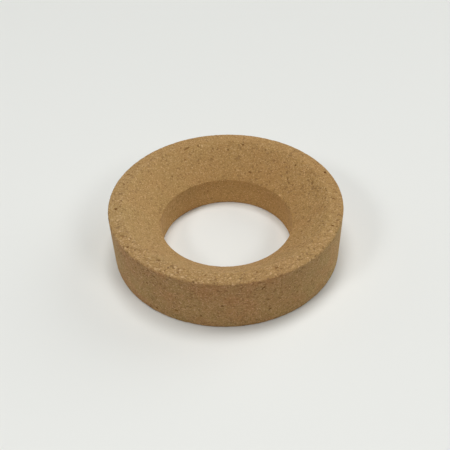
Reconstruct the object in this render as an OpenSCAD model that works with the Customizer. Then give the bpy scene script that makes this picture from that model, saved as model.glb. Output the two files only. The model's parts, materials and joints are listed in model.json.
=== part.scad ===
// Cork ring that stands a round-bottomed flask on a bench.
// One turned piece of pressed cork: a flat foot, an upright outer wall, a flat rim,
// a conical seat that the flask rests in, and a straight bore from the seat down to the foot.
// Axis on Z, foot on the plane z = 0. All sizes are in millimetres.

/* [Body] */
// Outer diameter of the ring
outer_d = 110; // [100:0.5:200]
// Height from the foot to the rim
height = 27.2; // [22:0.1:60]

/* [Seat] */
// Width of the flat rim between the outer wall and the seat
rim_w = 6.7; // [2:0.1:8.5]
// Depth of the conical seat below the rim
seat_depth = 12.45; // [4:0.05:18]

/* [Bore] */
// Diameter of the straight bore under the seat
bore_d = 63.4; // [20:0.1:78]

/* [Edges] */
// Rounding of the rim's outer edge
rim_round = 0.8; // [0.1:0.1:3]
// Rounding where the rim turns down into the seat
mouth_round = 1.2; // [0.1:0.1:3]
// Rounding where the seat meets the bore
throat_round = 0.6; // [0.1:0.1:3]
// Rounding of the foot's inner edge
bore_foot_round = 0.4; // [0.1:0.1:3]
// Rounding of the foot's outer edge
foot_round = 0.6; // [0.1:0.1:3]

/* [Hidden] */

outer_r = outer_d / 2;
bore_r = bore_d / 2;
mouth_r = outer_r - rim_w;
seat_z = height - seat_depth;

// A rounding takes at most this share of the shorter wall beside its corner
round_share = 0.45;
// Fineness of round shapes on screen
round_fn = 180;

cork_tan = "#aa8a5a";

// Corners of the half section, anticlockwise: [radius, height] and the rounding there
section = [
    [[bore_r, 0], bore_foot_round],
    [[outer_r, 0], foot_round],
    [[outer_r, height], rim_round],
    [[mouth_r, height], mouth_round],
    [[bore_r, seat_z], throat_round]
];

function unit(v) = v / norm(v);

// Half of the angle through which the outline turns at corner b
function half_turn(a, b, c) = acos(unit(b - a) * unit(c - b)) / 2;

// Distance from corner b to the points where its rounding starts and ends
function run_in(a, b, c, radius) =
    min(radius * tan(half_turn(a, b, c)), round_share * min(norm(b - a), norm(c - b)));

// A rounded corner as [start point, end point, centre, radius]
function rounding(a, b, c, radius) =
    let (
        run = run_in(a, b, c, radius),
        fitted = run / tan(half_turn(a, b, c)),
        inward = unit(unit(a - b) + unit(c - b))
    )
    [
        b + run * unit(a - b),
        b + run * unit(c - b),
        b + fitted / cos(half_turn(a, b, c)) * inward,
        fitted
    ];

// The slice of a disc that fills a rounded corner, between its two end points
module corner_slice(corner) {
    centre = corner[2];
    intersection() {
        translate(centre)
            circle(r = corner[3], $fn = round_fn);
        polygon([centre, centre + 2 * (corner[0] - centre), centre + 2 * (corner[1] - centre)]);
    }
}

// A convex outline with every corner rounded by its own true arc
module rounded_outline(corners) {
    count = len(corners);
    rounds = [
        for (i = [0:count - 1])
            rounding(
                corners[(i + count - 1) % count][0],
                corners[i][0],
                corners[(i + 1) % count][0],
                corners[i][1]
            )
    ];
    polygon([for (corner = rounds) each [corner[0], corner[1]]]);
    for (corner = rounds)
        corner_slice(corner);
}

module cork_ring() {
    color(cork_tan)
        rotate_extrude($fn = round_fn)
            rounded_outline(section);
}

cork_ring();
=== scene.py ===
"""Looks of a pressed cork flask ring: its cut grain, the bench it stands on, the light and the camera.

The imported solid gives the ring's size and place. One closed mesh of the same section stands for it. Its
surface is cut back by the grain of the cork, and the same grain colours it.
"""

from __future__ import annotations

import json
import logging
import math
from dataclasses import dataclass, field
from enum import Enum
from typing import ClassVar

import bpy
import numpy as np
from bpy.types import ColorRamp, Material, Mesh, Node, Object
from bpy.types import NodeSocket as Socket
from bpy.types import NodeTree as Tree
from mathutils import Matrix, Vector


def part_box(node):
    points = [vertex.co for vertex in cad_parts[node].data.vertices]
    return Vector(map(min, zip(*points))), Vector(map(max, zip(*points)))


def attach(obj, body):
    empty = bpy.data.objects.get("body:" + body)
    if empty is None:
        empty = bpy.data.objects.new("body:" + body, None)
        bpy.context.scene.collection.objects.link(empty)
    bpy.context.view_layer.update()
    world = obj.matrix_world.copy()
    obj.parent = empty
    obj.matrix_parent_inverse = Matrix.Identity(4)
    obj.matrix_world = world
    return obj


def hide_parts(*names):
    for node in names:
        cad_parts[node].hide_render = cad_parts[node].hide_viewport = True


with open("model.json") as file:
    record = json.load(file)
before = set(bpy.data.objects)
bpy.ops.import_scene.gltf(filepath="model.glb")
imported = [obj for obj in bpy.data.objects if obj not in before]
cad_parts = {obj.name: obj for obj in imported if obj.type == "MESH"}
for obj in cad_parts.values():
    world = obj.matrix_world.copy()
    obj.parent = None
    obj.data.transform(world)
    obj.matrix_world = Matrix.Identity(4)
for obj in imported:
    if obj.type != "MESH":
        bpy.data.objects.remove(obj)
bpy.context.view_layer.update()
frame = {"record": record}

MM = 0.001
NODE = "cork_ring"

# Names of what each point of the ring's mesh carries.
TRUE_PLACE = "true_place"
OPENNESS = "openness"
PATCHINESS = "patchiness"
TINT = "tint"
EDGE = "edge"
# The name of the map that the ring is laid out flat on.
BAKE_MAP = "OFBake"

# Blender's names for the types of node that are used most.
MATH = "ShaderNodeMath"
VECTOR = "ShaderNodeVectorMath"
MAP_RANGE = "ShaderNodeMapRange"
MIX = "ShaderNodeMix"

# What such nodes do with their inputs.
SUBTRACT = {"operation": "SUBTRACT"}
MULTIPLY = {"operation": "MULTIPLY"}
MULTIPLY_ADD = {"operation": "MULTIPLY_ADD"}
MAXIMUM = {"operation": "MAXIMUM"}
SMOOTH = {"interpolation_type": "SMOOTHSTEP"}

# A Mix node has a set of sockets for each type of value. These are its two colours, and their mix.
UNDER, OVER, MIXED = 6, 7, 2

log = logging.getLogger("cork_ring")


def linear(hex_colour: str) -> tuple[float, float, float, float]:
    """Turn an sRGB hex colour to the linear values that shaders take.

    Args:
        hex_colour: Six hex digits after a hash, such as "#aa8a5a".

    Returns:
        Linear red, green and blue, and an alpha of 1.
    """
    shares = [int(hex_colour[i : i + 2], 16) / 255 for i in (1, 3, 5)]
    # The sRGB curve is straight near black, and a power above that.
    red, green, blue = (s / 12.92 if s <= 0.04045 else ((s + 0.055) / 1.055) ** 2.4 for s in shares)
    return red, green, blue, 1.0


def add_node(
    tree: Tree,
    kind: str,
    settings: dict[str, object] | None = None,
    inputs: dict[str | int, object] | None = None,
) -> Node:
    """Add one node with its settings, and link or set its inputs.

    Args:
        tree: The node tree that gets it, of a material, a world or a modifier.
        kind: Blender's name for the node's type.
        settings: Values of the node's own properties.
        inputs: For each input's name or number, the value it keeps or what feeds it, which is a socket or a
            node's first output.

    Returns:
        The new node.
    """
    node = tree.nodes.new(kind)
    for name, value in (settings or {}).items():
        setattr(node, name, value)
    for name, value in (inputs or {}).items():
        if isinstance(value, Node):
            value = value.outputs[0]
        if isinstance(value, Socket):
            tree.links.new(value, node.inputs[name])
        else:
            node.inputs[name].default_value = value
    return node


def bare_material(name: str) -> Material:
    """Make a material that has no nodes yet.

    Args:
        name: The material's name.

    Returns:
        The new material.
    """
    material = bpy.data.materials.new(name)
    material.use_nodes = True
    material.node_tree.nodes.clear()
    return material


class Face(Enum):
    """The five faces of the ring. The mould left the wall, and the others were cut and ground."""

    FOOT = "foot"
    WALL = "wall"
    RIM = "rim"
    SEAT = "seat"
    BORE = "bore"


@dataclass(frozen=True)
class Cut:
    """How a face was left, from the start of its run to its end.

    The runs go round the half section: out along the foot, up the wall, in over the rim, down the seat and
    down the bore. Openness is a share, 0 where the grain was ground shut and 1 where it was torn. It grows
    by open_swing of itself towards the azimuth open_side, in degrees, and shrinks by as much away from it.
    The tints lie over the granules' own tans, and are mostly painted light: a face that gets less light is
    tinted paler, and a tint changes along a run where the light on it changes. Patchiness is how far redder
    and greener patches show.
    """

    open_start: float
    open_end: float
    open_side: float
    open_swing: float
    tint_start: str
    tint_end: str
    patchiness: float

    def at(self, share: float) -> tuple[float, Vector, Vector]:
        """Tell how the face was left at a share of its run.

        Args:
            share: The share, from 0 at the start of the run to 1 at its end.

        Returns:
            Its mean openness, how much that grows towards X and towards Y, and its linear tint.
        """
        openness = self.open_start * (1 - share) + self.open_end * share
        side = math.radians(self.open_side)
        growth = openness * self.open_swing * Vector((math.cos(side), math.sin(side)))
        tint = Vector(linear(self.tint_start)).lerp(Vector(linear(self.tint_end)), share)
        return openness, growth, tint.xyz


# How open each face was left at the start and the end of its run, and towards which side, then its tints.
# The tints are painted light: the wall and the bore are tinted paler than the rim to lift the shade they
# stand in, the wall pales towards its foot as painted light bounced off the bench, and the seat darkens
# towards the throat as painted shade.
CUTS = {
    Face.FOOT: Cut(0.45, 0.45, -110, 0.1, "#f4f4f4", "#f4f4f4", patchiness=0.4),
    Face.WALL: Cut(0.43, 0.43, -150, 0.2, "#f3feff", "#eaf2f5", patchiness=1.0),
    Face.RIM: Cut(0.6, 0.58, -110, 0.37, "#e8ebf0", "#e8ebf0", patchiness=0.25),
    Face.SEAT: Cut(0.57, 0.31, -40, 0.5, "#f1f6fb", "#e7e8e7", patchiness=0.3),
    Face.BORE: Cut(0.12, 0.12, -110, 0.2, "#f9f9fa", "#f9f9fa", patchiness=0.25),
}


@dataclass(frozen=True)
class Corner:
    """A corner of the half section, in millimetres, with its rounding.

    The face whose run starts there follows it, with a point of the mesh at about each step.
    """

    radius: float
    height: float
    rounding: float
    face: Face
    step: float

    @property
    def place(self) -> Vector:
        """The corner as a point of the half section."""
        return Vector((self.radius, self.height))


@dataclass(frozen=True)
class Arc:
    """The arc that rounds a corner of the half section, in millimetres."""

    start: Vector
    centre: Vector
    end: Vector


@dataclass(frozen=True)
class OutlinePoint:
    """A point of the rounded half section, in millimetres, with how its face was left there.

    Growth is how much the openness grows towards X and towards Y. Edge is 1 on a rounding, and falls to 0
    where the edge no longer crumbles.
    """

    place: Vector
    openness: float
    growth: Vector
    tint: Vector
    patchiness: float
    edge: float


class Scar(Enum):
    """What a mark is: a pit, painted darker partly as painted shade, a spot of paler fresh cork, or a broad
    redder patch, which on the near wall is painted light that leaves the wall's sides paler, as under a
    sheen.
    """

    PIT = "pit"
    PALE = "pale"
    RUDDY = "ruddy"


@dataclass(frozen=True)
class Mark:
    """One pit, scratch, pale spot or broad patch that this ring has.

    It lies on a face, at an azimuth in degrees and at a share of the face's run. Its length and width are
    in millimetres, and it reaches as deep as it is wide. Its slant is in degrees from level.
    """

    # The shares of its half size from which it starts to show, and within which it is whole.
    FADE_START: ClassVar[float] = 1.2
    FADE_END: ClassVar[float] = 0.6

    face: Face
    azimuth: float
    share: float
    length: float
    width: float
    slant: float = 0.0
    strength: float = 1.0
    scar: Scar = Scar.PIT

    def add_to(self, tree: Tree, place: Socket, start: Vector, end: Vector) -> Socket:
        """Add the mark to a tree.

        Args:
            tree: The tree that gets the nodes.
            place: The point on the true section, in metres.
            start: Where its face's run starts on the half section, in millimetres.
            end: Where its face's run ends on the half section, in millimetres.

        Returns:
            The socket of the mark's share: its strength in the middle, and 0 outside.
        """
        spot = start.lerp(end, self.share)
        along = (end - start).normalized()
        turn = Matrix.Rotation(math.radians(self.azimuth), 3, "Z")
        up = turn @ Vector((along.x, 0, along.y))
        round_way = turn @ Vector((0, 1, 0))
        outward = round_way.cross(up)
        slant = Matrix.Rotation(math.radians(self.slant), 3, outward)
        axes = Matrix((slant @ round_way, slant @ up, outward)).transposed()
        # The point is seen from the mark's middle, turned to its own axes and measured in its half sizes.
        away = add_node(tree, VECTOR, SUBTRACT, {0: place, 1: turn @ Vector((spot.x, 0, spot.y)) * MM})
        level = add_node(
            tree,
            "ShaderNodeVectorRotate",
            {"rotation_type": "EULER_XYZ", "invert": True},
            {"Vector": away, "Rotation": axes.to_euler()},
        )
        halves = Vector((self.length, self.width, self.width)) / 2 * MM
        scaled = add_node(tree, VECTOR, {"operation": "DIVIDE"}, {0: level, 1: halves})
        reach = add_node(tree, VECTOR, {"operation": "LENGTH"}, {0: scaled})
        share = add_node(
            tree,
            MAP_RANGE,
            SMOOTH,
            {
                "Value": reach.outputs["Value"],
                "From Min": self.FADE_START,
                "From Max": self.FADE_END,
                "To Max": self.strength,
            },
        )
        return share.outputs["Result"]


@dataclass(frozen=True)
class Grain:
    """Sockets of the grain at a point, for a material or for the cutting of the mesh.

    Tone, warmth, fine tone and level are random shares of a granule. The higher its level, the deeper it
    lies. Tilt is how far its cut facet rises or falls there, in millimetres. Seam is 1 on its border, and
    hollow is 1 where a granule is lost.
    """

    tone: Socket
    warmth: Socket
    fine_tone: Socket
    level: Socket
    tilt: Socket
    seam: Socket
    hollow: Socket


@dataclass(frozen=True)
class Granules:
    """How the cork's granules lie: the one pattern that cuts the surface and colours it.

    Sizes are in millimetres.
    """

    # Bark is milled to granules of about 0.5 to 1.5 mm for such a ring.
    size: float = 0.88
    # The dust between them is about 0.1 mm across and too fine to show, so its grains are drawn half as wide
    # as the granules.
    fine_size: float = 0.45
    # Borders waver by this much over this distance, because pressing squeezes the granules into each other.
    waver: float = 0.4
    waver_size: float = 0.7
    waver_detail: float = 1.0
    # A granule's border fades over this share of its size. Seams of binder are about 0.02 mm wide and too
    # fine to show, so this draws them as coarse as about 0.1 mm to each side.
    seam_share: float = 0.14
    # Places where a granule may be lost lie about this far apart. The largest hollow has this radius and the
    # smallest has this share of it, and the radius of their bottoms is this share of the spacing.
    hollow_spacing: float = 1.9
    hollow_radius: float = 0.55
    smallest_hollow: float = 0.5
    hollow_bottom: float = 0.06
    # The least share of the places is hollow up to this openness, and the most where the grain was torn.
    shut_openness: float = 0.2
    least_hollow: float = 0.04
    most_hollow: float = 0.22

    def add_to(self, tree: Tree, place: Socket, openness: Socket) -> Grain:
        """Add the pattern to a tree of a material or of a modifier, so that both have the same granules.

        Args:
            tree: The tree that gets the nodes.
            place: The point on the true section, in metres.
            openness: How open the grain is there.

        Returns:
            The grain's sockets.
        """
        middle = (0.5, 0.5, 0.5)
        noise = add_node(
            tree,
            "ShaderNodeTexNoise",
            inputs={"Vector": place, "Scale": 1 / (self.waver_size * MM), "Detail": self.waver_detail},
        )
        centred = add_node(tree, VECTOR, SUBTRACT, {0: noise.outputs["Color"], 1: middle})
        scaled = add_node(tree, VECTOR, {"operation": "SCALE"}, {0: centred, "Scale": self.waver * MM})
        wander = add_node(tree, VECTOR, {"operation": "ADD"}, {0: place, 1: scaled}).outputs[0]
        # The granules, their borders and the fines.
        kinds = (("F1", self.size), ("DISTANCE_TO_EDGE", self.size), ("F1", self.fine_size))
        grain, border, fines = (
            add_node(
                tree,
                "ShaderNodeTexVoronoi",
                {"feature": feature},
                {"Vector": wander, "Scale": 1 / (size * MM)},
            )
            for feature, size in kinds
        )
        shares, fine_shares = (
            add_node(tree, "ShaderNodeSeparateXYZ", inputs={0: cells.outputs["Color"]})
            for cells in (grain, fines)
        )
        # Each granule's facet leans its own way, about its middle.
        from_middle = add_node(tree, VECTOR, SUBTRACT, {0: wander, 1: grain.outputs["Position"]})
        slope = add_node(tree, VECTOR, SUBTRACT, {0: grain.outputs["Color"], 1: middle})
        rise = add_node(tree, VECTOR, {"operation": "DOT_PRODUCT"}, {0: from_middle, 1: slope})
        tilt = add_node(tree, MATH, MULTIPLY, {0: rise.outputs["Value"], 1: 1 / MM})
        seam = add_node(
            tree,
            MAP_RANGE,
            SMOOTH,
            {"Value": border.outputs["Distance"], "From Min": self.seam_share, "From Max": 0.0},
        )
        return Grain(
            tone=shares.outputs[0],
            warmth=shares.outputs[1],
            fine_tone=fine_shares.outputs[0],
            level=shares.outputs[2],
            tilt=tilt.outputs[0],
            seam=seam.outputs["Result"],
            hollow=self.add_hollows(tree, wander, openness),
        )

    def add_hollows(self, tree: Tree, wander: Socket, openness: Socket) -> Socket:
        """Add the hollows of lost granules, with more of them where the grain is open.

        Args:
            tree: The tree that gets the nodes.
            wander: The wavering point.
            openness: How open the grain is there.

        Returns:
            The socket that is 1 in a hollow.
        """
        cells = add_node(
            tree, "ShaderNodeTexVoronoi", inputs={"Vector": wander, "Scale": 1 / (self.hollow_spacing * MM)}
        )
        shares = add_node(tree, "ShaderNodeSeparateXYZ", inputs={0: cells.outputs["Color"]})
        lost = add_node(
            tree,
            MAP_RANGE,
            inputs={
                "Value": openness,
                "From Min": self.shut_openness,
                "To Min": self.least_hollow,
                "To Max": self.most_hollow,
            },
        )
        is_lost = add_node(tree, MATH, {"operation": "LESS_THAN"}, {0: shares.outputs[0], 1: lost})
        largest = self.hollow_radius / self.hollow_spacing
        smallest = self.smallest_hollow * largest
        reach = add_node(
            tree, MAP_RANGE, inputs={"Value": shares.outputs[1], "To Min": smallest, "To Max": largest}
        )
        inside = add_node(
            tree,
            MAP_RANGE,
            SMOOTH,
            {"Value": cells.outputs["Distance"], "From Min": reach, "From Max": self.hollow_bottom},
        )
        return add_node(tree, MATH, MULTIPLY, {0: is_lost, 1: inside}).outputs[0]


@dataclass(frozen=True)
class PressedCork:
    """Agglomerated cork: bark granules pressed hot with a little binder, then cut and ground, not varnished.

    It shows the eye a dry mottle of tans with a few brown flecks, coarse and deep where a tool tore it, and
    fine and even where it was ground shut. Its only gloss is the dull one of bark.
    """

    # Each cut granule has its own tan, which a random share picks off this ramp.
    tans: tuple[tuple[float, str], ...] = (
        (0.0, "#866035"),
        (0.12, "#ad8750"),
        (0.45, "#c09a5e"),
        (0.8, "#cfa96c"),
        (1.0, "#f4cf99"),
    )
    # Dust of this mean tan is smeared over a face that was ground shut. These are the share that is left of
    # the granules' contrast, and the share that the fines have in their colour, where shut and where torn.
    smeared_tan: str = "#bb975d"
    contrast_shut: float = 0.45
    contrast_torn: float = 1.0
    fines_shut: float = 0.95
    fines_torn: float = 0.5
    # This share of the granules is outer bark. They and the seams of binder are darker by these strengths.
    bark: str = "#724e29"
    bark_share: float = 0.05
    bark_strength: float = 0.6
    seam_strength: float = 0.35
    # Hollows and pits are painted towards this dark colour by these strengths: partly the darker cork inside
    # them, and partly painted shade for the shade that falls in them, beyond what their cut relief casts.
    shade: str = "#82541c"
    hollow_shade: float = 0.62
    pit_shade: float = 0.95
    # A knock shows fresh cork.
    fresh: str = "#e0b985"
    # The mix is a little greener in some patches and redder in others, and their size is in millimetres. The
    # ruddy colour is that of the broad redder patches; the one on the near wall is painted light, redder in
    # the wall's middle so that its sides read paler, as under a sheen at grazing angles.
    casts: tuple[tuple[float, str], ...] = ((0.36, "#f8fafa"), (0.5, "#fdf9fe"), (0.64, "#fff1f5"))
    ruddy: str = "#fff2f2"
    cast_size: float = 12.0
    cast_detail: float = 3.0
    cast_roughness: float = 0.65
    cast_seed: float = 104.5
    # Relief too fine for the mesh: facets rise by this share of their lean, and depths are in millimetres.
    facet_lean: float = 0.6
    seam_depth: float = 0.08
    level_depth: float = 0.06
    hollow_depth: float = 0.25
    pit_depth: float = 0.3
    # Its index is about that of wood, and its cut cells scatter light so widely that it looks dry all round.
    ior: float = 1.45
    roughness: float = 0.92
    granules: Granules = field(default_factory=Granules)

    def material(self, marks: Marks) -> Material:
        """Build the cork's material.

        Args:
            marks: The marks that the ring has.

        Returns:
            The material.
        """
        material = bare_material("pressed_cork_cut_and_ground")
        tree = material.node_tree
        carried = ((TRUE_PLACE, "Vector"), (OPENNESS, "Fac"), (PATCHINESS, "Fac"), (TINT, "Color"))
        place, openness, patchiness, tint = (
            add_node(tree, "ShaderNodeAttribute", {"attribute_name": name}).outputs[output]
            for name, output in carried
        )
        grain = self.granules.add_to(tree, place, openness)
        pits, pale, ruddy = (marks.add_to(tree, place, scar) for scar in (Scar.PIT, Scar.PALE, Scar.RUDDY))
        colour = self.granule_colour(tree, grain, openness)
        colour = self.cast(tree, colour, place, ruddy, patchiness)
        # Partly painted shade: hollows and pits are darkened in colour on top of their cut relief.
        sunk, pitted = (
            add_node(tree, MATH, MULTIPLY, {0: share, 1: strength})
            for share, strength in ((grain.hollow, self.hollow_shade), (pits, self.pit_shade))
        )
        shaded = add_node(tree, MATH, MAXIMUM, {0: sunk, 1: pitted})
        # The last layer multiplies in the tint, which is mostly painted light and shade: paler on faces that
        # get less light, and darker and yellower on one side of the ring.
        layers = (
            ("MIX", shaded, linear(self.shade)),
            ("MIX", pale, linear(self.fresh)),
            ("MULTIPLY", 1.0, tint),
        )
        for blend, share, over in layers:
            colour = add_node(
                tree,
                MIX,
                {"data_type": "RGBA", "blend_type": blend},
                {"Factor": share, UNDER: colour, OVER: over},
            ).outputs[MIXED]
        height = self.relief(tree, grain, openness, pits)
        bump = add_node(tree, "ShaderNodeBump", inputs={"Strength": 1.0, "Distance": MM, "Height": height})
        shader = add_node(
            tree,
            "ShaderNodeBsdfPrincipled",
            inputs={"Base Color": colour, "Roughness": self.roughness, "IOR": self.ior, "Normal": bump},
        )
        add_node(tree, "ShaderNodeOutputMaterial", inputs={"Surface": shader})
        return material

    def granule_colour(self, tree: Tree, grain: Grain, openness: Socket) -> Socket:
        """Colour the granules, with less contrast where grinding smeared their dust over the face.

        Args:
            tree: The material's tree.
            grain: The grain's sockets.
            openness: How open the grain is there.

        Returns:
            The colour's socket.
        """
        tan, fine_tan = (
            add_node(tree, "ShaderNodeValToRGB", inputs={"Fac": tone})
            for tone in (grain.tone, grain.fine_tone)
        )
        for ramp in (tan, fine_tan):
            self.set_ramp(ramp.color_ramp, self.tans)
        shares = ((self.fines_shut, self.fines_torn), (self.contrast_shut, self.contrast_torn))
        fines, contrast = (
            add_node(tree, MAP_RANGE, inputs={"Value": openness, "To Min": shut, "To Max": torn})
            for shut, torn in shares
        )
        is_bark = add_node(
            tree, MATH, {"operation": "GREATER_THAN"}, {0: grain.warmth, 1: 1 - self.bark_share}
        )
        barked, seamed = (
            add_node(tree, MATH, MULTIPLY, {0: share, 1: strength})
            for share, strength in ((is_bark, self.bark_strength), (grain.seam, self.seam_strength))
        )
        bark = linear(self.bark)
        colour = tan.outputs["Color"]
        for share, over in ((fines, fine_tan), (barked, bark), (seamed, bark)):
            colour = add_node(
                tree, MIX, {"data_type": "RGBA"}, {"Factor": share, UNDER: colour, OVER: over}
            ).outputs[MIXED]
        return add_node(
            tree,
            MIX,
            {"data_type": "RGBA"},
            {"Factor": contrast, UNDER: linear(self.smeared_tan), OVER: colour},
        ).outputs[MIXED]

    def cast(self, tree: Tree, colour: Socket, place: Socket, ruddy: Socket, patchiness: Socket) -> Socket:
        """Cast the cork a little red in some patches and a little green in others.

        Args:
            tree: The material's tree.
            colour: The colour so far.
            place: The point on the true section, in metres.
            ruddy: The share of a broad redder patch there, which on the near wall is painted light that
                leaves the wall's sides paler, as under a sheen.
            patchiness: How far the casts show there.

        Returns:
            The new colour's socket.
        """
        patches = add_node(
            tree,
            "ShaderNodeTexNoise",
            {"noise_dimensions": "4D"},
            {
                "Vector": place,
                "W": self.cast_seed,
                "Scale": 1 / (self.cast_size * MM),
                "Detail": self.cast_detail,
                "Roughness": self.cast_roughness,
            },
        )
        cast = add_node(tree, "ShaderNodeValToRGB", inputs={"Fac": patches})
        self.set_ramp(cast.color_ramp, self.casts)
        tinting = {"data_type": "RGBA", "blend_type": "MULTIPLY"}
        reddened = add_node(
            tree, MIX, tinting, {"Factor": ruddy, UNDER: cast, OVER: linear(self.ruddy)}
        ).outputs[MIXED]
        return add_node(
            tree, MIX, tinting, {"Factor": patchiness, UNDER: colour, OVER: reddened}
        ).outputs[MIXED]

    def relief(self, tree: Tree, grain: Grain, openness: Socket, pits: Socket) -> Socket:
        """Add the relief that is too fine for the mesh: leaning facets, sunk seams and hollows' walls.

        Args:
            tree: The material's tree.
            grain: The grain's sockets.
            openness: How open the grain is there.
            pits: The share of a pit there.

        Returns:
            The socket of the height, in millimetres.
        """
        facets = (
            (grain.tilt, self.facet_lean),
            (grain.seam, -self.seam_depth),
            (grain.level, -self.level_depth),
        )
        height: Node | float = 0.0
        for share, rise in facets:
            height = add_node(tree, MATH, MULTIPLY_ADD, {0: share, 1: rise, 2: height})
        height = add_node(tree, MATH, MULTIPLY, {0: height, 1: openness})
        for share, depth in ((grain.hollow, self.hollow_depth), (pits, self.pit_depth)):
            height = add_node(tree, MATH, MULTIPLY_ADD, {0: share, 1: -depth, 2: height})
        return height.outputs[0]

    @staticmethod
    def set_ramp(ramp: ColorRamp, stops: tuple[tuple[float, str], ...]) -> None:
        """Give a colour ramp its stops.

        Args:
            ramp: The ramp.
            stops: Each stop's share and its sRGB hex colour, from the first to the last.
        """
        # New stops start at the ramp's end, so that none passes another on its way to its place.
        while len(ramp.elements) < len(stops):
            ramp.elements.new(1.0)
        for element, (share, colour) in zip(ramp.elements, stops, strict=True):
            element.position = share
            element.color = linear(colour)


@dataclass(frozen=True)
class Marks:
    """The pits, scratches and pale spots that can be told apart on this ring, and its broad ruddy patches.

    Runs are where each face's run starts and ends on the half section, in millimetres.
    """

    runs: dict[Face, tuple[Vector, Vector]]
    # Each has its face, azimuth, share, length and width, and then what sets it apart from a plain pit.
    marks: tuple[Mark, ...] = (
        Mark(Face.WALL, -137, 0.78, 1.1, 0.9, strength=0.85),
        Mark(Face.WALL, -126, 0.09, 1.2, 1.0),
        Mark(Face.WALL, -131, 0.79, 1.2, 1.0, strength=0.6),
        Mark(Face.WALL, -130, 0.6, 1.1, 0.9, strength=0.55),
        Mark(Face.WALL, -125, 0.84, 1.3, 0.9, strength=0.6),
        Mark(Face.WALL, -122, 0.74, 1.2, 0.8, strength=0.3),
        Mark(Face.WALL, -115, 0.24, 1.7, 1.1),
        Mark(Face.WALL, -103, 0.24, 1.0, 0.9, strength=0.9),
        Mark(Face.WALL, -93, 0.51, 1.4, 0.9),
        Mark(Face.WALL, -74.5, 0.82, 2.6, 0.7, slant=40),
        Mark(Face.WALL, -72, 0.53, 1.2, 1.0, strength=0.8),
        Mark(Face.WALL, -71, 0.29, 1.3, 1.0),
        Mark(Face.WALL, -57, 0.44, 0.9, 0.8, strength=0.7),
        Mark(Face.RIM, -175.5, 0.57, 1.5, 1.5),
        Mark(Face.RIM, -153, 0.5, 2.4, 1.6, strength=0.5),
        Mark(Face.RIM, -145, 0.3, 1.0, 1.1, strength=0.9),
        Mark(Face.RIM, -127, 0.88, 1.3, 1.1, strength=0.75),
        Mark(Face.RIM, -114, 0.5, 1.1, 1.1, strength=0.5),
        Mark(Face.RIM, -101, 0.75, 1.0, 1.2, strength=0.65),
        Mark(Face.RIM, -76, 0.8, 1.0, 1.2, strength=0.6),
        Mark(Face.RIM, -66, 0.7, 1.7, 1.0, strength=0.85),
        Mark(Face.RIM, -23, 0.48, 1.0, 1.6, strength=0.85),
        Mark(Face.RIM, -1, 0.65, 1.1, 1.1, strength=0.7),
        Mark(Face.RIM, 18.5, 0.2, 1.0, 0.9, strength=0.5),
        Mark(Face.RIM, 21.5, 0.32, 2.0, 1.2),
        Mark(Face.RIM, 155, 0.5, 0.8, 3.8, strength=0.65),
        Mark(Face.RIM, 163.5, 0.6, 0.9, 1.0),
        Mark(Face.SEAT, 18.5, 0.23, 0.9, 0.9, strength=0.7),
        Mark(Face.SEAT, 36.5, 0.57, 4.4, 0.55, slant=-35, strength=0.7),
        Mark(Face.SEAT, 39, 0.17, 1.0, 1.0, strength=0.85),
        Mark(Face.SEAT, 69, 0.75, 1.8, 1.0, strength=0.7),
        Mark(Face.SEAT, 78, 0.08, 1.0, 1.2, strength=0.8),
        Mark(Face.SEAT, 97.5, 0.18, 0.9, 0.9, strength=0.7),
        Mark(Face.SEAT, 106.5, 0.05, 1.0, 1.0, strength=0.6),
        Mark(Face.SEAT, 114, 0.05, 3.2, 1.0, slant=12, strength=0.65),
        Mark(Face.SEAT, 118, 0.31, 0.9, 0.9, strength=0.6),
        Mark(Face.SEAT, 133, 0.56, 1.0, 1.0, strength=0.5),
        Mark(Face.BORE, 107, 0.4, 1.0, 1.0, strength=0.6),
        # Broad redder patches. The one on the near wall is painted light: it leaves the wall's sides paler,
        # as under a sheen at grazing angles.
        Mark(Face.WALL, -106, 0.5, 110, 110, scar=Scar.RUDDY),
        Mark(Face.WALL, 75, 0.5, 165, 165, strength=0.5, scar=Scar.RUDDY),
        Mark(Face.RIM, -157.5, 0.48, 1.1, 1.2, scar=Scar.PALE),
        Mark(Face.RIM, -145, 0.13, 1.2, 1.1, strength=0.7, scar=Scar.PALE),
        Mark(Face.RIM, -124.5, 0.15, 1.4, 1.2, strength=0.8, scar=Scar.PALE),
        Mark(Face.RIM, -117, 0.89, 1.3, 1.2, strength=0.9, scar=Scar.PALE),
        Mark(Face.RIM, -116, 0.2, 1.4, 1.2, strength=0.9, scar=Scar.PALE),
        Mark(Face.RIM, -111, 0.25, 1.5, 1.3, strength=0.9, scar=Scar.PALE),
        Mark(Face.RIM, -89, 0.55, 1.2, 1.2, strength=0.9, scar=Scar.PALE),
        Mark(Face.RIM, -70, 0.4, 1.2, 1.4, strength=0.8, scar=Scar.PALE),
        Mark(Face.RIM, -53, 0.78, 1.1, 1.2, strength=0.8, scar=Scar.PALE),
        Mark(Face.RIM, -27.5, 0.4, 1.4, 1.8, strength=0.85, scar=Scar.PALE),
        Mark(Face.SEAT, 33, 0.97, 1.8, 1.0, scar=Scar.PALE),
        Mark(Face.SEAT, 79, 0.74, 1.4, 1.0, strength=0.6, scar=Scar.PALE),
        Mark(Face.SEAT, 104, 0.06, 1.1, 1.1, scar=Scar.PALE),
    )

    def add_to(self, tree: Tree, place: Socket, scar: Scar) -> Socket:
        """Add all the marks of one kind to a tree.

        Args:
            tree: The tree that gets the nodes.
            place: The point on the true section, in metres.
            scar: Which kind of mark.

        Returns:
            The socket of the strongest mark's share there.
        """
        chosen = [mark for mark in self.marks if mark.scar is scar]
        strongest, *others = [mark.add_to(tree, place, *self.runs[mark.face]) for mark in chosen]
        for share in others:
            strongest = add_node(tree, MATH, MAXIMUM, {0: strongest, 1: share}).outputs[0]
        return strongest


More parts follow.
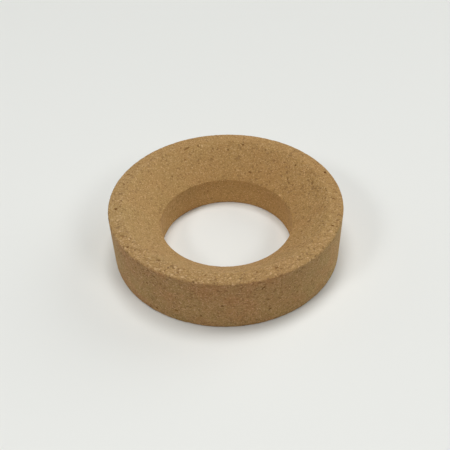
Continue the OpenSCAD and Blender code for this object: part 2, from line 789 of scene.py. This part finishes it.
@dataclass(frozen=True)
class CorkRing:
    """The ring: one piece, a rounded half section turned about its axis and cut back by the grain.

    Sizes are in millimetres. Its height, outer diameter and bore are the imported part's.
    """

    rim_width: float = 6.7
    seat_depth: float = 12.45
    rim_rounding: float = 0.8
    mouth_rounding: float = 1.2
    throat_rounding: float = 0.6
    bore_foot_rounding: float = 0.4
    foot_rounding: float = 0.6
    # The mesh has this many steps around the ring and along each rounding, and steps of about these lengths
    # along each face's straight run, finest on the rim.
    around: int = 640
    arc_steps: int = 3
    foot_step: float = 1.2
    wall_step: float = 0.55
    rim_step: float = 0.46
    seat_step: float = 0.6
    bore_step: float = 0.75
    # How deep the surface is cut back where the grain is torn: by granules, by hollows and by pits.
    granule_relief: float = 0.1
    hollow_depth: float = 0.35
    pit_depth: float = 0.45
    # How deep the edges crumbled, how long the crumbs were and how far from an edge they reached. They start
    # at one level of their noise, and are whole at the other.
    crumble: float = 0.33
    crumble_size: float = 1.6
    crumble_reach: float = 1.2
    crumble_detail: float = 1.5
    crumble_start: float = 0.45
    crumble_whole: float = 0.75
    # The ring is painted a little darker and yellower on one side, at this azimuth in degrees, as painted
    # shade: it stands in for the cooler, stronger light on the other side.
    painted_shade_side: float = 40.0
    painted_shade_tint: str = "#fdf6ed"
    # The share of each half of the map that is kept free along its edges.
    map_gap: float = 0.004
    finish: PressedCork = field(default_factory=PressedCork)

    def corners(self) -> list[Corner]:
        """Work out the half section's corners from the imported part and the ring's own sizes.

        Returns:
            The corners, anticlockwise from the bore's foot.
        """
        low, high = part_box(NODE)
        outer = high.x / MM
        height = (high.z - low.z) / MM
        bores = [mount for mount in frame["record"]["mounts"] if mount["name"] == "bore"]
        bore = bores[0]["dims"]["r_mm"]
        mouth = outer - self.rim_width
        throat = height - self.seat_depth
        return [
            Corner(bore, 0.0, self.bore_foot_rounding, Face.FOOT, self.foot_step),
            Corner(outer, 0.0, self.foot_rounding, Face.WALL, self.wall_step),
            Corner(outer, height, self.rim_rounding, Face.RIM, self.rim_step),
            Corner(mouth, height, self.mouth_rounding, Face.SEAT, self.seat_step),
            Corner(bore, throat, self.throat_rounding, Face.BORE, self.bore_step),
        ]

    def runs(self) -> dict[Face, tuple[Vector, Vector]]:
        """Return where each face's run starts and ends on the half section, in millimetres."""
        corners = self.corners()
        return {a.face: (a.place, b.place) for a, b in zip(corners, corners[1:] + corners[:1], strict=True)}

    @staticmethod
    def rounding(before: Corner, corner: Corner, after: Corner) -> Arc:
        """Find the arc that rounds a corner.

        Args:
            before: The corner before it.
            corner: The corner.
            after: The corner after it.

        Returns:
            The arc.
        """
        back = (before.place - corner.place).normalized()
        on = (after.place - corner.place).normalized()
        half_turn = (math.pi - back.angle(on)) / 2
        run = corner.rounding * math.tan(half_turn)
        centre = corner.place + (back + on).normalized() * corner.rounding / math.cos(half_turn)
        return Arc(corner.place + back * run, centre, corner.place + on * run)

    def outline(self) -> list[OutlinePoint]:
        """Round the half section, and space out points along its roundings and its faces.

        Returns:
            The points, anticlockwise from the rounding of the bore's foot.
        """
        corners = self.corners()
        afters = corners[1:] + corners[:1]
        befores = corners[-1:] + corners[:-1]
        arcs = [self.rounding(*three) for three in zip(befores, corners, afters, strict=True)]
        points: list[OutlinePoint] = []
        for before, corner, arc, next_arc in zip(befores, corners, arcs, arcs[1:] + arcs[:1], strict=True):
            points += self.arc_points(arc, corner.rounding, CUTS[before.face], CUTS[corner.face])
            points += self.run_points(arc.end, next_arc.start, corner.step, CUTS[corner.face])
        return points

    def arc_points(self, arc: Arc, radius: float, before: Cut, after: Cut) -> list[OutlinePoint]:
        """Space out points along a rounding, over which one face's cut turns into the next one's.

        Args:
            arc: The rounding.
            radius: Its radius.
            before: How the face before it was left.
            after: How the face after it was left.

        Returns:
            The points, with those at both ends of the arc.
        """
        first = math.atan2(*(arc.start - arc.centre).yx)
        turn = (math.atan2(*(arc.end - arc.centre).yx) - first) % math.tau
        openness, growth, tint = before.at(1.0)
        next_openness, next_growth, next_tint = after.at(0.0)
        points = []
        for k in range(self.arc_steps + 1):
            share = k / self.arc_steps
            angle = first + share * turn
            point = OutlinePoint(
                place=arc.centre + radius * Vector((math.cos(angle), math.sin(angle))),
                openness=openness + (next_openness - openness) * share,
                growth=growth.lerp(next_growth, share),
                tint=tint.lerp(next_tint, share),
                patchiness=before.patchiness * (1 - share) + after.patchiness * share,
                edge=1.0,
            )
            points.append(point)
        return points

    def run_points(self, start: Vector, end: Vector, step: float, cut: Cut) -> list[OutlinePoint]:
        """Space out points along the straight run of a face.

        Args:
            start: Where the rounding before it ends.
            end: Where the rounding after it starts.
            step: About how far the points are apart.
            cut: How the face was left.

        Returns:
            The points, without those at both ends of the run.
        """
        length = (end - start).length
        count = max(2, round(length / step))
        points = []
        for k in range(1, count):
            share = k / count
            edge = max(0.0, 1 - min(share, 1 - share) * length / self.crumble_reach)
            points.append(OutlinePoint(start.lerp(end, share), *cut.at(share), cut.patchiness, edge))
        return points

    def true_mesh(self) -> Object:
        """Turn the outline about the axis into a closed mesh, with what each point carries and its map.

        Returns:
            The ring with its true surface.
        """
        points = self.outline()
        rows = len(points)
        spots = np.array([p.place for p in points]) * MM
        angles = np.arange(self.around) * math.tau / self.around
        x = np.outer(np.cos(angles), spots[:, 0])
        y = np.outer(np.sin(angles), spots[:, 0])
        z = np.broadcast_to(spots[:, 1], x.shape)
        places = np.stack([x, y, z], -1).reshape(-1, 3)
        turn, row = (a.ravel() for a in np.meshgrid(np.arange(self.around), np.arange(rows), indexing="ij"))
        turns = np.stack([turn, turn + 1, turn + 1, turn], -1)
        steps = np.stack([row, row, row + 1, row + 1], -1)
        quads = turns % self.around * rows + steps % rows
        mesh = bpy.data.meshes.new(NODE)
        mesh.from_pydata(places.tolist(), [], quads.tolist())
        mesh.shade_smooth()
        towards = np.stack([np.cos(angles), np.sin(angles)], -1)
        openness = towards @ np.array([p.growth for p in points]).T + np.array([p.openness for p in points])
        # The painted shade is whole on its side, and fades to none on the other.
        deep = 0.5 + 0.5 * np.cos(angles - math.radians(self.painted_shade_side))
        around_tint = 1 - np.outer(deep, 1 - np.array(linear(self.painted_shade_tint)[:3]))
        tints = around_tint[:, None, :] * np.array([p.tint for p in points])
        patchiness = np.tile([p.patchiness for p in points], self.around)
        edge = np.tile([p.edge for p in points], self.around)
        self.carry(mesh, "FLOAT_VECTOR", {TRUE_PLACE: places, TINT: tints})
        self.carry(mesh, "FLOAT", {OPENNESS: openness, PATCHINESS: patchiness, EDGE: edge})
        self.lay_out(mesh, turns, steps, spots)
        ring = bpy.data.objects.new("pressed_cork_ring", mesh)
        bpy.context.scene.collection.objects.link(ring)
        return ring

    @staticmethod
    def carry(mesh: Mesh, kind: str, named: dict[str, np.ndarray]) -> None:
        """Give each point of a mesh values to carry.

        Args:
            mesh: The mesh.
            kind: Blender's name for the type of value.
            named: For each attribute's name, a value or a row for each point.
        """
        key = "vector" if kind == "FLOAT_VECTOR" else "value"
        for name, values in named.items():
            attribute = mesh.attributes.new(name, kind, "POINT")
            attribute.data.foreach_set(key, np.asarray(values, np.float32).ravel())

    def lay_out(self, mesh: Mesh, turns: np.ndarray, steps: np.ndarray, spots: np.ndarray) -> None:
        """Lay the surface out flat for baking: two half turns, one above the other, to nearly one scale.

        Args:
            mesh: The mesh.
            turns: Each corner's count of steps around, for each quad.
            steps: Each corner's count of steps along the section, for each quad.
            spots: The section's points.
        """
        strides = np.linalg.norm(np.roll(spots, -1, axis=0) - spots, axis=1)
        along = np.concatenate([[0.0], np.cumsum(strides)]) / strides.sum()
        half = self.around // 2
        upper = turns[:, :1] // half
        used = 1 - 2 * self.map_gap
        u = self.map_gap + used * (turns - upper * half) / half
        v = (upper + self.map_gap + used * along[steps]) / 2
        layout = mesh.uv_layers.new(name=BAKE_MAP)
        layout.data.foreach_set("uv", np.stack([u, v], -1).astype(np.float32).ravel())

    def cut_grain(self, ring: Object, marks: Marks) -> None:
        """Cut the surface back, always inwards, by the grain, the ring's marks and its crumbled edges.

        Args:
            ring: The ring with its true surface.
            marks: The marks that it has.
        """
        tree = bpy.data.node_groups.new("cut_grain", "GeometryNodeTree")
        for way in ("INPUT", "OUTPUT"):
            tree.interface.new_socket("Geometry", in_out=way, socket_type="NodeSocketGeometry")
        surface = add_node(tree, "NodeGroupInput")
        place, openness, edge = (
            add_node(tree, "GeometryNodeInputNamedAttribute", {"data_type": kind}, {"Name": name}).outputs[0]
            for name, kind in ((TRUE_PLACE, "FLOAT_VECTOR"), (OPENNESS, "FLOAT"), (EDGE, "FLOAT"))
        )
        grain = self.finish.granules.add_to(tree, place, openness)
        level = add_node(tree, MATH, MULTIPLY, {0: grain.level, 1: self.granule_relief})
        crumbs = add_node(
            tree,
            "ShaderNodeTexNoise",
            inputs={"Vector": place, "Scale": 1 / (self.crumble_size * MM), "Detail": self.crumble_detail},
        )
        crumbled = add_node(
            tree,
            MAP_RANGE,
            SMOOTH,
            {
                "Value": crumbs,
                "From Min": self.crumble_start,
                "From Max": self.crumble_whole,
                "To Max": self.crumble,
            },
        )
        at_edge = add_node(tree, MATH, MULTIPLY, {0: edge, 1: openness})
        losses = (
            (level, openness),
            (grain.hollow, self.hollow_depth),
            (marks.add_to(tree, place, Scar.PIT), self.pit_depth),
            (crumbled, at_edge),
        )
        depth: Node | float = 0.0
        for loss, amount in losses:
            depth = add_node(tree, MATH, MULTIPLY_ADD, {0: loss, 1: amount, 2: depth})
        inwards = add_node(tree, MATH, MULTIPLY, {0: depth, 1: -MM})
        normal = add_node(tree, "GeometryNodeInputNormal")
        offset = add_node(tree, VECTOR, {"operation": "SCALE"}, {0: normal, "Scale": inwards})
        moved = add_node(tree, "GeometryNodeSetPosition", inputs={"Geometry": surface, "Offset": offset})
        add_node(tree, "NodeGroupOutput", inputs={0: moved})
        self.settle(ring, tree)

    @staticmethod
    def settle(ring: Object, tree: Tree) -> None:
        """Run a tree of geometry nodes on the ring once, and keep what it makes as the ring's own mesh.

        Args:
            ring: The ring.
            tree: The tree, which is removed afterwards.
        """
        modifier = ring.modifiers.new(tree.name, "NODES")
        modifier.node_group = tree
        bpy.context.view_layer.update()
        depsgraph = bpy.context.evaluated_depsgraph_get()
        settled = bpy.data.meshes.new_from_object(
            ring.evaluated_get(depsgraph), preserve_all_data_layers=True, depsgraph=depsgraph
        )
        ring.modifiers.clear()
        old = ring.data
        ring.data = settled
        bpy.data.meshes.remove(old)
        bpy.data.node_groups.remove(tree)
        settled.name = NODE

    def build(self) -> Object:
        """Build the ring, dress it and place it in the frame.

        Returns:
            The ring.
        """
        marks = Marks(self.runs())
        ring = self.true_mesh()
        self.cut_grain(ring, marks)
        ring.data.materials.append(self.finish.material(marks))
        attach(ring, "root")
        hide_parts(NODE)
        return ring


@dataclass(frozen=True)
class Viewpoint:
    """Where the ring is seen from: a hand-held camera that looks down on it from the front.

    Lengths are in millimetres and turns in degrees. The shifts are shares of the frame's width.
    """

    distance: float = 328.5
    elevation: float = 40.83
    roll: float = 1.66
    pan: float = 1.42
    tilt: float = 4.09
    focal_length: float = 54.23
    sensor: float = 36.0
    shift_x: float = -0.044
    shift_y: float = 0.1

    def build(self) -> Object:
        """Create the camera and make it the scene's.

        Returns:
            The camera.
        """
        low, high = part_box(NODE)
        middle = (low + high) / 2
        rise = math.radians(self.elevation)
        back = Vector((0, -math.cos(rise), math.sin(rise)))
        right = Vector((1, 0, 0))
        level = Matrix((right, back.cross(right), back))
        facing = Matrix.Identity(3)
        for axis, degrees in (("Z", self.roll), ("X", self.tilt), ("Y", self.pan)):
            facing = facing @ Matrix.Rotation(math.radians(degrees), 3, axis)
        pose = (facing @ level).transposed().to_4x4()
        pose.translation = middle + back * self.distance * MM
        data = bpy.data.cameras.new("viewpoint")
        data.lens = self.focal_length
        data.sensor_width = self.sensor
        data.shift_x = self.shift_x
        data.shift_y = self.shift_y
        camera = bpy.data.objects.new("viewpoint", data)
        camera.matrix_world = pose
        bpy.context.scene.collection.objects.link(camera)
        bpy.context.scene.camera = camera
        return camera


@dataclass(frozen=True)
class MattLaminate:
    """Matt laminate, pressed smooth: pale and even, with soft shadows and no mirror image."""

    colour: str = "#e7e8e4"
    roughness: float = 0.8

    def material(self) -> Material:
        """Build the laminate's material.

        Returns:
            The material.
        """
        material = bare_material("bench_laminate")
        tree = material.node_tree
        shader = add_node(
            tree,
            "ShaderNodeBsdfPrincipled",
            inputs={"Base Color": linear(self.colour), "Roughness": self.roughness},
        )
        add_node(tree, "ShaderNodeOutputMaterial", inputs={"Surface": shader})
        return material


@dataclass(frozen=True)
class Bench:
    """The pale round bench top under the ring, with its radius in metres."""

    radius: float = 0.9
    corners: int = 180
    finish: MattLaminate = field(default_factory=MattLaminate)

    def build(self) -> Object:
        """Build the bench top.

        Returns:
            The bench top.
        """
        turns = [math.tau * k / self.corners for k in range(self.corners)]
        edge = [(self.radius * math.cos(turn), self.radius * math.sin(turn), 0) for turn in turns]
        mesh = bpy.data.meshes.new("bench")
        mesh.from_pydata(edge, [], [range(self.corners)])
        mesh.materials.append(self.finish.material())
        bench = bpy.data.objects.new("bench", mesh)
        bpy.context.scene.collection.objects.link(bench)
        return bench


@dataclass(frozen=True)
class SoftLamp:
    """A round soft lamp that faces the ring.

    Its azimuth, elevation and width are in degrees as seen from the ring, and its distance is in metres.
    Its level is the light that it gives a surface facing it, as a share of what renders a colour as written.
    """

    name: str
    azimuth: float
    elevation: float
    width: float
    level: float
    distance: float = 3.0
    colour: str = "#ffffff"

    def build(self) -> Object:
        """Hang the lamp.

        Returns:
            The lamp.
        """
        rise, turn = math.radians(self.elevation), math.radians(self.azimuth)
        towards = Vector((math.cos(rise) * math.cos(turn), math.cos(rise) * math.sin(turn), math.sin(rise)))
        data = bpy.data.lights.new(self.name, "AREA")
        data.shape = "DISK"
        data.size = 2 * self.distance * math.tan(math.radians(self.width) / 2)
        # A colour renders as written under pi watts a square metre. A small lamp gives a surface facing it
        # its watts over pi and over its distance squared.
        data.energy = self.level * (math.pi * self.distance) ** 2
        data.color = linear(self.colour)[:3]
        lamp = bpy.data.objects.new(self.name, data)
        lamp.matrix_world = towards.to_track_quat("Z", "Y").to_matrix().to_4x4()
        lamp.location = towards * self.distance
        bpy.context.scene.collection.objects.link(lamp)
        return lamp


@dataclass(frozen=True)
class Studio:
    """Plain room light: two ceiling panels, two lamps in front and a window at each side.

    Together they light a level surface so that a colour renders about as it is written. The pale backdrop
    is seen and mirrored, and gives no light.
    """

    lamps: tuple[SoftLamp, ...] = (
        SoftLamp("ceiling_back", azimuth=72, elevation=77, width=18, level=0.34),
        SoftLamp("ceiling_left", azimuth=165, elevation=80, width=17, level=0.275),
        SoftLamp("front_left", azimuth=-143, elevation=42, width=13, level=0.19, distance=1.15),
        SoftLamp("front_right", azimuth=-44, elevation=42, width=17, level=0.18, distance=1.15),
        SoftLamp("window_right", azimuth=32, elevation=28, width=46, level=0.33, colour="#fbfdff"),
        SoftLamp("window_left", azimuth=160, elevation=15, width=44, level=0.1),
    )
    backdrop: str = "#e6e7e2"

    def build(self) -> list[Object]:
        """Hang the lamps and give the scene its backdrop.

        Returns:
            The lamps.
        """
        world = bpy.data.worlds.new("backdrop")
        world.use_nodes = True
        tree = world.node_tree
        tree.nodes.clear()
        path = add_node(tree, "ShaderNodeLightPath")
        seen = path.outputs["Is Camera Ray"]
        for other in ("Is Glossy Ray", "Is Transmission Ray"):
            seen = add_node(tree, MATH, MAXIMUM, {0: seen, 1: path.outputs[other]})
        pale = add_node(
            tree, "ShaderNodeBackground", inputs={"Color": linear(self.backdrop), "Strength": seen}
        )
        add_node(tree, "ShaderNodeOutputWorld", inputs={"Surface": pale})
        bpy.context.scene.world = world
        return [lamp.build() for lamp in self.lamps]


def main() -> None:
    """Build the camera, the ring, the bench and the light, in that order, and report each."""
    logging.basicConfig(level=logging.INFO, format="%(name)s: %(message)s")
    bpy.context.scene.view_settings.view_transform = "Standard"
    camera = Viewpoint().build()
    log.info("%s: lens of %.1f mm", camera.name, camera.data.lens)
    ring = CorkRing().build()
    log.info("%s: %d triangles", ring.name, sum(len(p.vertices) - 2 for p in ring.data.polygons))
    bench = Bench().build()
    log.info("%s: %d corners", bench.name, len(bench.data.vertices))
    for lamp in Studio().build():
        log.info("%s: %.2f watts", lamp.name, lamp.data.energy)


if __name__ == "__main__":
    main()
